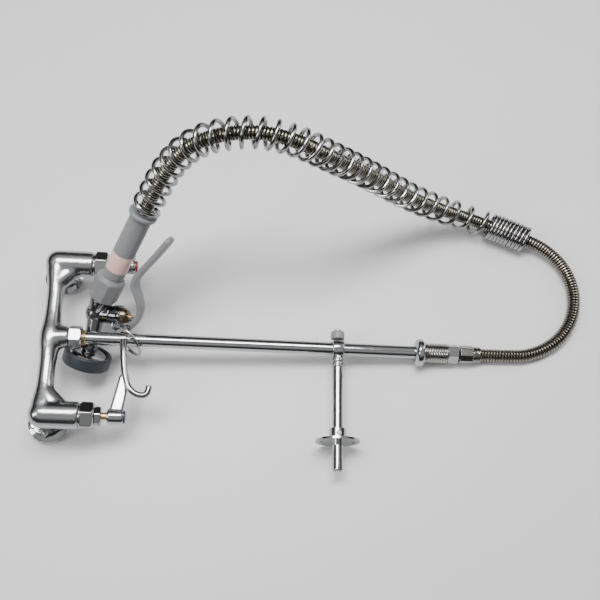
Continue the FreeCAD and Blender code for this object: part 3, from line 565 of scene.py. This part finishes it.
def threaded(start, count, pitch, crest, root):
    """Outline of a thread: a rounded crest and a rounded root to each turn."""
    x = start + pitch * (np.arange(count)[:, None] + np.array((0.0, 0.22, 0.38, 0.62, 0.78))).ravel()
    r = np.tile(np.array((root, (root + crest) / 2, crest, crest, (root + crest) / 2)), count)
    return list(zip(x, r))


thread_chrome = metal("worn_thread", (0.70, 0.56, 0.34), 0.22, fine=0.05, grime=0.40)
tail = turned("adapter_thread", [(0, 8.6), (7.6, 8.6), (8.0, 9.6)] + threaded(8.2, 14, 1.45, 10.1, 9.2) +
              [(28.7, 9.4), (29.0, 8.7)], on_faucet(16, 0, 0), RISER_WAY, ease=0.15, sharp=50)
fit(tail, thread_chrome, "riser_adapter")
riser = turned("riser_tube", [(0, 8.0), (0.5, 8.5)] + [(x, 8.53) for x in np.linspace(2, 444, 90)] +
               [(445.5, 8.5), (446, 8.0)], on_faucet(30, 0, 0), RISER_WAY, ease=0.2)
fit(riser, pipe_chrome, "riser_pipe")

# ---------------------------------------------------------------- spring seat and hose fittings
# At the riser's far end: the rounded flange that the spring is seated on when the faucet is
# put up, a long threaded sleeve, then the hose's hex and its faceted swivel nut.
SEAT = 474.0
rim = [(0, 13.4), (0.2, 14.0), (3.2, 18.2), (6.5, 18.4), (9.8, 18.2), (12.8, 14.2), (13, 13.4)]
seat = turned("seat_flange", rim, on_faucet(SEAT, 0, 0), RISER_WAY, ease=1.6)
fit(seat, pipe_chrome, "spring_seat")
sleeve_chrome = metal("sleeve_chrome", (0.40, 0.39, 0.365), 0.13, fine=0.03, grime=0.35)
ridges = [(0.05, 11.4), (0.4, 12.1)] + threaded(0.5, 9, 3.36, 13.15, 12.1) + [(30.5, 11.6)]
sleeve = turned("sleeve_thread", ridges, on_faucet(SEAT + 13, 0, 0), RISER_WAY, ease=0.2, sharp=50)
fit(sleeve, sleeve_chrome, "threaded_sleeve")
hose_hex = hexed("hose_hexagon", domed(14.0, 23.0, 0.8, 1.2), 23.0, on_faucet(SEAT + 43.6, 0, 0),
                 RISER_WAY, OUTWARD)
fit(hose_hex, nut_chrome, "hose_hex")
facets = [(0, 10.4), (0.8, 11.9), (5, 12.1), (12, 12.1), (16.6, 12.1), (17.9, 10.9)]
swivel = hexed("swivel_nut", facets, 22.4, on_faucet(SEAT + 59.9, 0, 0), RISER_WAY, OUTWARD, sides=8)
fit(swivel, sleeve_chrome, "hose_nut")
crimp = turned("hose_crimp", [(0, 9.5), (18.0, 9.85), (18.1, 10.4), (18.5, 10.85), (23, 10.85), (24.4, 10.3),
                              (25.6, 10.8), (27.4, 10.6), (28.8, 9.9), (28.95, 9.4)],
               on_faucet(SEAT + 59.9, 0, 0), RISER_WAY, ease=0.6)
crimp_steel = metal("crimp_steel", (0.27, 0.25, 0.215), 0.16, fine=0.04, grime=0.30)
fit(crimp, crimp_steel, "hose_ferrule")

# ---------------------------------------------------------------- finger hook
# A bent rod brazed to a band round the riser; it holds the spray valve when it hangs. A small
# set screw under the band stops it from sliding.
HOOK_R = 3.9
bends = [(93, -5, 11.8), (94, -14, 13.4), (95.5, -28, 14), (98, -46, 14), (101, -58, 14), (106, -69, 14),
         (118, -77, 14), (130, -75, 14), (130, -63, 14)]
hook_path = smooth_line("hook_line", [on_faucet(*bend) / MM for bend in bends])
hook_run = np.linalg.norm(np.diff(hook_path, axis=0), axis=1).sum()
round_run = 2 * MM
straight_run = hook_run - round_run
hook_stops = np.concatenate([np.linspace(0, straight_run, 80),
                             straight_run + np.linspace(0.1, 1, 9) * round_run])
past = (hook_stops - straight_run) / (1.01 * round_run)
hook_radii = HOOK_R * np.where(past < 0, 1, np.sqrt(np.clip(1 - past ** 2, 0.001, 1))) * MM
hook = tube("hook_rod", hook_path, hook_stops, hook_radii, 40)
hook_chrome = metal("hook_chrome", (0.32, 0.32, 0.32), 0.12, fine=0.02, grime=0.2)
fit(hook, hook_chrome, "finger_hook", "hook")


def rounded_box(x0, x1, r0, r1, corner, steps=5):
    """Closed outline of a ring's section: a box with quarter circle corners."""
    points = []
    for cx, cr, start in ((x1 - corner, r1 - corner, 0), (x0 + corner, r1 - corner, 90),
                          (x0 + corner, r0 + corner, 180), (x1 - corner, r0 + corner, 270)):
        bend = np.radians(start + np.linspace(0, 90, steps))
        points += list(zip(cx + corner * np.cos(bend), cr + corner * np.sin(bend)))
    return points


def ringed(name, section, origin, axis, sides=120):
    """A ring with a hole: a closed section of (x, r) corners swept about an axis."""
    return skin(name, turned_rows(section, origin, axis, sides), loop=True)


band = ringed("hook_band", rounded_box(-4.7, 4.7, 8.62, 10.45, 0.5), on_faucet(93, 0, 0), RISER_WAY)
fit(band, hook_chrome, None, "hook")
dress(["hook_set_screw", "flange_set_screw"], nut_chrome)

# ---------------------------------------------------------------- wall bracket
# A clamp ring on the riser carries a rod out to the wall. A grey knob with a stud tightens the
# ring on one side; two ridged collars lock the rod on the other; a round flange slides on it.
BRACKET = 371.0
clamp_at = on_faucet(BRACKET, 0, 0)
clamp = ringed("clamp_ring", rounded_box(-7.4, 7.4, 8.65, 12.9, 1.6), clamp_at, RISER_WAY)
fit(clamp, pipe_chrome, "bracket_clamp", "wall_bracket")
boss = turned("clamp_boss", [(9.4, 7.0), (16.6, 7.3), (17.9, 7.0)], clamp_at, -BAR_WAY, ease=0.8)
fit(boss, pipe_chrome, None, "wall_bracket")
knob_grey, shader, where = new_finish("knob_grey", Roughness=0.42)
lead_to(shader, Base_Color=where.noise(420).blend((0.20, 0.215, 0.235, 1), (0.26, 0.275, 0.295, 1)),
        Normal=where.noise(1500, 2).bump(0.25, 0.0002))
barrel = [(0.0, 8.2), (0.4, 8.9), (2, 9.0), (9.2, 9.0), (10.6, 8.1), (10.9, 6.2), (10.9, 4.6)]
knob = turned("clamp_knob", barrel, on_faucet(BRACKET, 13.1, 0), BAR_WAY, ease=0.7)
fit(knob, knob_grey, "bracket_cap", "wall_bracket")
stud = turned("clamp_stud", [(0, 2.9), (15.1, 2.9), (15.3, 4.2), (17.4, 4.3), (18.6, 2.8), (18.9, 1.0)],
              on_faucet(BRACKET, 9.0, 0), BAR_WAY, sides=60, ease=0.5)
fit(stud, nut_chrome, "cap_screw", "wall_bracket")
for number, start in ((1, 13.4), (2, 19.6)):
    outline = [(0.0, 7.6), (0.3, 8.3), (1.0, 8.95), (2.2, 9.0), (2.7, 8.6), (3.2, 9.0), (4.5, 8.95),
               (5.1, 8.2), (5.35, 7.5)]
    collar = turned("rod_collar_%d" % number, outline, on_faucet(BRACKET, -start, 0), -BAR_WAY, ease=0.35)
    fit(collar, nut_chrome, "rod_nut_%d" % number, "wall_bracket")
bar = [(0, 3.8), (6, 3.85), (6.1, 6.4), (6.6, 6.8)] + [(x, 6.83) for x in np.linspace(9, 147, 40)]
rod = turned("wall_rod", bar + [(148.6, 6.4), (149, 5.6)], on_faucet(BRACKET, -12.1, 0), -BAR_WAY, ease=0.3)
fit(rod, pipe_chrome, "bracket_rod", "wall_bracket")
flange_chrome = metal("flange_chrome", (0.46, 0.465, 0.47), 0.08, wave=0.1, fine=0.015)
dress(["bracket_flange"], flange_chrome)

# ---------------------------------------------------------------- grip
# Insulated grey grip: a faceted collar at the valve, a straight sleeve with a plain coloured
# band, and a wide rim that the spring's last turn bears on.


def on_grip(run):
    """A place this many mm up the grip's axis from its foot."""
    return (FOOT + run * GRIP_WAY) * MM


LEVER_SIDE = np.array((0.80, -0.58, -0.145))
LEVER_SIDE = LEVER_SIDE - GRIP_WAY * LEVER_SIDE.dot(GRIP_WAY)
LEVER_SIDE = LEVER_SIDE / np.linalg.norm(LEVER_SIDE)
LEVER_NORMAL = np.cross(GRIP_WAY, LEVER_SIDE)


def moulded(name, dark, light, rough, pebble, height, **fixed):
    """Moulded plastic or rubber: a slow change of tone, fine pebbling and rubbed patches."""
    material, shader, where = new_finish(name, **fixed)
    tone = where.noise(120, 5)
    rub = where.noise(45, 3).ramp((0.45, 0.0), (0.8, 1.0))
    lead_to(shader, Base_Color=(tone * 0.7 + rub * 0.3).blend(dark + (1,), light + (1,)),
            Roughness=rub * -0.10 + tone * 0.10 + rough,
            Normal=(where.noise(pebble, 3) + where.noise(60, 2) * 0.4).bump(0.35, height))
    return material


grip_grey = moulded("grip_grey", (0.20, 0.205, 0.215), (0.255, 0.262, 0.275), 0.42, 2200, 0.00025)
collar = hexed("faceted_collar", [(0, 16.6), (0.6, 17.6), (1.6, 19.6), (30, 19.6), (32.2, 17.9), (35.8, 14.9),
                                  (36.4, 14.2)], 36.0, on_grip(3.5), GRIP_WAY, LEVER_SIDE, sides=8)
fit(collar, grip_grey, "grip_collar")
sleeve = turned("grip_tube", [(0.1, 13.6), (0.6, 14.1)] + [(x, 14.15) for x in np.linspace(3, 93, 30)] +
                [(96.2, 14.1), (96.7, 13.5)], on_grip(40), GRIP_WAY, ease=0.4)
fit(sleeve, grip_grey, "grip_sleeve")
rim_grey = moulded("rim_grey", (0.20, 0.215, 0.24), (0.28, 0.295, 0.32), 0.38, 1800, 0.0002)
flare = [(0.05, 14.3), (0.3, 15.0), (2.6, 18.1), (5.6, 18.4), (7.1, 17.6), (7.4, 13.5), (7.45, 9.6)]
rim = turned("spring_rim", flare, on_grip(GRIP_RUN - 7.5), GRIP_WAY, ease=0.9)
fit(rim, rim_grey, "grip_rim")
pink, shader, where = new_finish("band_pink", Roughness=0.36, Coat_Weight=0.35, Coat_Roughness=0.15)
lead_to(shader, Base_Color=where.noise(160, 4).blend((0.84, 0.50, 0.46, 1), (0.88, 0.58, 0.53, 1)),
        Normal=where.noise(320, 2).bump(0.15, 0.0003))
label = turned("plain_band", [(0, 14.2), (0.1, 14.4), (13, 14.42), (25.9, 14.4), (26, 14.2)],
               on_grip(53), GRIP_WAY, ease=0.05)
fit(label, pink, "grip_band")
dress(["hose_end_ferrule"], crimp_steel)
dress(["grip_insert"], grip_grey)

# ---------------------------------------------------------------- spray valve
# Chromed casting: an elbow under the grip with arms to the plunger's bonnet and to the spray
# head. The squeeze lever pushes a brass plunger in against a spring inside.
ELBOW = (FOOT - 24.6 * GRIP_WAY + 3.0 * LEVER_SIDE)
BONNET_WAY = 0.55 * GRIP_WAY + 0.835 * LEVER_SIDE
BONNET_WAY = BONNET_WAY / np.linalg.norm(BONNET_WAY)
AIM = np.array((-0.29, -0.78, -0.555))
AIM = AIM / np.linalg.norm(AIM)
HEAD = np.array((41.5, -18.5, 30.2))
NECK = HEAD - 15.5 * AIM


def rod_rows(start, end, *radii):
    """Outline of a straight arm from one place to another, with radii spread along it."""
    run = np.linalg.norm(end - start)
    return [(x, r) for x, r in zip(np.linspace(0, run, len(radii)), radii)]


def arm(name, start, end, *radii):
    """A round arm between two places in mm."""
    return turned(name, rod_rows(start, end, *radii), start * MM, end - start, sides=64, ease=2)


def ball_at(name, centre, radius, axis):
    """A ball: (-radius cos a, radius sin a) turned about an axis through its centre."""
    steps = np.linspace(0.12, np.pi - 0.12, 20)
    outline = [(-radius * math.cos(a), radius * math.sin(a)) for a in steps]
    return skin(name, turned_rows(outline, centre * MM, axis, 64))


valve_lumps = [ball_at("elbow", ELBOW, 14.9, GRIP_WAY),
               arm("to_grip", ELBOW, FOOT + 0.5 * GRIP_WAY, 12.5, 13.2, 14.2),
               arm("to_bonnet", ELBOW, ELBOW + 24.4 * BONNET_WAY, 12.0, 12.1, 12.1),
               arm("to_head", ELBOW, NECK, 11.4, 9.9, 8.6),
               ball_at("neck", NECK, 10.2, AIM),
               arm("neck_end", NECK, NECK + 5.1 * AIM, 9.6, 9.6)]
valve = joined("valve_casting", valve_lumps, 0.8, 12)
dark_chrome = metal("dark_chrome", (0.17, 0.172, 0.178), 0.10, wave=0.4)
fit(valve, dark_chrome, "spray_valve_body")
bonnet = turned("plunger_bonnet",
                [(0, 11.2), (0.3, 11.9), (3.7, 12.0), (4.1, 11.5), (15.2, 11.5), (15.7, 10.9)],
                (ELBOW + 24.2 * BONNET_WAY) * MM, BONNET_WAY)
fit(bonnet, dark_chrome, "valve_bonnet")
dark_brass = metal("dark_brass", (0.20, 0.165, 0.11), 0.18, fine=0.05, grime=0.35)
cap = turned("plunger_cap", [(0, 10.4), (0.3, 10.9), (3, 9.8), (5.5, 8.6), (7.4, 7.2), (8, 5.8), (7.9, 3.4)],
             (ELBOW + 40.1 * BONNET_WAY) * MM, BONNET_WAY, ease=0.8)
fit(cap, dark_brass, "bonnet_cap")
dress(["valve_plunger"], brass)
dress(["valve_spring"], spring_steel)
dress(["lever_yoke", "pivot_pin"], dark_chrome)

# ---------------------------------------------------------------- spray head
# A thick rubber bumper round a chromed bell, with a drilled plate over its mouth.
bumper_rubber = moulded("bumper_rubber", (0.016, 0.020, 0.028), (0.030, 0.036, 0.046), 0.46, 1500, 0.0003)
head_back = (HEAD - 9 * AIM) * MM
bumper = ringed("rubber_bumper", rounded_box(0.05, 17.9, 25.05, 30.9, 2.6, 8), head_back, AIM, 160)
fit(bumper, bumper_rubber, "bumper_ring")
bell = turned("chrome_bell", [(0, 10.4), (0.2, 11.2), (0.7, 16.0), (1.8, 21.0), (3.4, 23.9), (5.3, 24.75),
                              (14.85, 24.8), (14.95, 22.0)], (HEAD - 10.3 * AIM) * MM, AIM, ease=2.0)
fit(bell, handle_chrome, "spray_bell")
plate_grey = moulded("plate_grey", (0.16, 0.17, 0.19), (0.22, 0.23, 0.25), 0.45, 1500, 0.0002)
dress(["spray_plate"], plate_grey)
dress(["plate_screw"], nut_chrome)

# ---------------------------------------------------------------- squeeze lever
# A bent steel strip with a thick soft grey coating, hung on a pin between the yoke's cheeks. A
# loose chromed ring hangs in the yoke's eye.
coating = moulded("lever_coating", (0.20, 0.205, 0.215), (0.27, 0.275, 0.285), 0.36, 1300, 0.0003,
                  Coat_Weight=0.15)


def in_plane(run, out):
    """A place in the spray valve's plane: run along the grip, out towards the lever, in mm."""
    return FOOT + np.multiply.outer(run, GRIP_WAY) + np.multiply.outer(out, LEVER_SIDE)


BENDS = ((-13, 50.3), (-2, 53.6), (9, 55.6), (21, 54), (31, 48.5), (40, 39.5), (48, 31.2), (58, 29.2),
         (70, 31.2), (88, 35.6), (106, 39.8), (122, 43), (133, 44.8), (137, 45.5))
bent = smooth_line("lever_line", [in_plane(*bend) for bend in BENDS])
lever_run = np.linalg.norm(np.diff(bent, axis=0), axis=1).sum()
TIP = 7 * MM
lever_stops = np.concatenate([np.linspace(0, lever_run - TIP, 120),
                              lever_run - TIP + TIP * np.sin(np.linspace(0, 0.5 * np.pi, 12)[1:])])
middle, way, *_ = along(bent, np.minimum(lever_stops, lever_run - 0.1 * MM))
flat = np.broadcast_to(LEVER_NORMAL, middle.shape)
face = np.cross(way, flat)
face = face / np.linalg.norm(face, axis=1, keepdims=True)
share = lever_stops / lever_run
half_width = np.interp(share, (0, 0.16, 0.30, 0.45, 0.68, 1.0), (5.0, 5.0, 6.6, 7.9, 8.9, 8.9))
tip_round = np.clip((lever_stops - (lever_run - TIP)) / TIP, 0, 1)
half_width = half_width * np.sqrt(np.clip(1 - tip_round ** 2.4, 0.002, 1))
half_thick = 4.2 * np.sqrt(np.clip(1 - tip_round ** 3, 0.01, 1))
strip = skin("lever_strip", blade_rows(middle, flat, face, half_width, half_thick, 3.6, 64), sharp=40)
fit(strip, coating, "squeeze_lever", "squeeze")
EYE = np.array((81.4, 17.1, 59.8))
RING_FACE = np.array((0.68, 0.70, -0.22)) / np.linalg.norm((0.68, 0.70, -0.22))
RING_REACH = np.array((0.65, -0.71, -0.26))
RING_REACH = RING_REACH - RING_FACE * RING_FACE.dot(RING_REACH)
RING_REACH = RING_REACH / np.linalg.norm(RING_REACH)


def hoop(name, centre, axis, big, small, around=24):
    """A torus: (big + small cos b) out from the axis, small sin b along it."""
    bend = np.linspace(0, 2 * np.pi, around, endpoint=False)
    return ringed(name, np.stack([small * np.sin(bend), big + small * np.cos(bend)], -1), centre * MM, axis)


eyelet = turned("pivot_eyelet", [(-4.95, 4.6), (-4.5, 5.0), (4.5, 5.0), (4.95, 4.6)],
                (FOOT - 9 * GRIP_WAY + 50.5 * LEVER_SIDE) * MM, LEVER_NORMAL, sides=64)
fit(eyelet, coating, None, "squeeze")
ring = hoop("hold_hoop", EYE + 24 * RING_REACH, RING_FACE, 24.0, 2.0)
fit(ring, nut_chrome, "hanging_ring", "hold_ring")

# ---------------------------------------------------------------- floor and lights
# A plain pale table under soft studio lamps: a large one overhead, a long one at the side and
# a dark surround, so that the chrome has something to show.
bpy.ops.mesh.primitive_plane_add(size=8, location=(0.3, 0, -0.0002))
floor = bpy.context.object
floor.name = "table_top"
table, shader, where = new_finish("table_white", Roughness=0.45)
lead_to(shader, Base_Color=where.noise(3, 3).blend((0.80, 0.80, 0.81, 1), (0.84, 0.84, 0.85, 1)))
floor.data.materials.append(table)


def lamp(name, place, target, wide, deep, watts):
    """A rectangular studio lamp at a place, facing a target."""
    light = bpy.data.lights.new(name, "AREA")
    light.shape = "RECTANGLE"
    light.size = wide
    light.size_y = deep
    light.energy = watts
    holder = bpy.data.objects.new(name, light)
    holder.location = place
    holder.rotation_euler = (Vector(place) - Vector(target)).to_track_quat("Z", "Y").to_euler()
    bpy.context.scene.collection.objects.link(holder)


lamp("overhead", (0.15, 0.45, 2.0), (0.3, 0, 0), 1.5, 0.6, 48)
lamp("side", (-1.5, -0.5, 1.5), (0.2, 0, 0.05), 0.5, 1.2, 16)
lamp("far", (1.9, 0.9, 1.1), (0.3, 0, 0.05), 0.5, 1.2, 10)
world = bpy.data.worlds.new("studio")
world.use_nodes = True
bpy.context.scene.world = world
sky = world.node_tree
back = sky.nodes["Background"]
dome = Socket(sky).make("ShaderNodeTexCoord", {}, {}, "Generated")
height = dome.make("ShaderNodeSeparateXYZ", {}, {"Vector": dome}, "Z")
glow = (height * 0.5 + 0.5).ramp((0.0, 0.55), (0.50, 0.16), (0.60, 0.05), (0.74, 0.08), (0.9, 0.75),
                                 (1.0, 0.55))
sky.links.new(glow.link, back.inputs["Color"])
back.inputs["Strength"].default_value = 0.75
